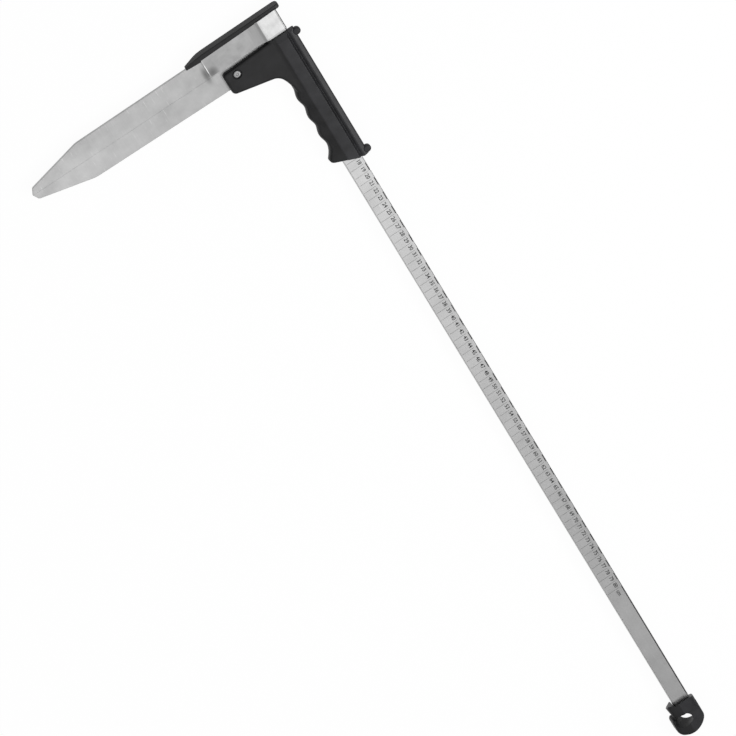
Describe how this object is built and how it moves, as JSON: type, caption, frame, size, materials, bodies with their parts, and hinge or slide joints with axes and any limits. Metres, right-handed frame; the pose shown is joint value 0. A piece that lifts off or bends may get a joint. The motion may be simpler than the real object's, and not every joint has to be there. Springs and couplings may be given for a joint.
{
  "type": "tree caliper",
  "caption": "Slide caliper for tree trunks: a pistol grip carries a pointed jaw along a flat graduated beam toward a fixed jaw at the head, with a hook-shaped end cap for hanging.",
  "frame": {"origin": "middle of the closed tool's outline, on the surface that it lies on", "axes": "+Y up the beam to the head, +Z out of the scale side, -X the way the jaws point"},
  "size_m": [0.3172, 1.0496, 0.02],
  "materials": {
    "anodised_aluminium": "satin clear anodised",
    "bright_steel": "bright, lightly worn",
    "black_moulding": "matt moulded",
    "acetal": "natural acetal",
    "brass": "plain turned"
  },
  "bodies": {
    "beam_assembly": {"beam": "anodised_aluminium", "head_strap": "bright_steel", "fixed_jaw": "anodised_aluminium", "fixed_jaw_rivet_1": "bright_steel", "fixed_jaw_rivet_2": "bright_steel", "top_guard": "black_moulding", "head_screw_1": "bright_steel", "head_screw_2": "bright_steel", "end_hook_cap": "black_moulding", "cap_screw": "bright_steel"},
    "slider": {"grip_front_shell": "black_moulding", "grip_rear_shell": "black_moulding", "sliding_jaw": "anodised_aluminium", "sliding_jaw_rivet": "bright_steel", "rivet_washer": "bright_steel", "glide_pad_upper_jaw": "acetal", "glide_pad_upper_spine": "acetal", "glide_pad_lower_jaw": "acetal", "glide_pad_lower_spine": "acetal", "adjuster_nut_upper": "brass", "adjuster_nut_lower": "brass", "adjuster_screw_upper": "bright_steel", "adjuster_screw_lower": "bright_steel", "brake_spring": "bright_steel", "grip_screw_1": "bright_steel", "grip_screw_2": "bright_steel", "grip_screw_3": "bright_steel"}
  },
  "joints": [
    {"name": "grip_slide", "type": "slide", "parent": "beam_assembly", "child": "slider", "axis": [0, -1, 0], "range_m": [0, 0.802]}
  ]
}
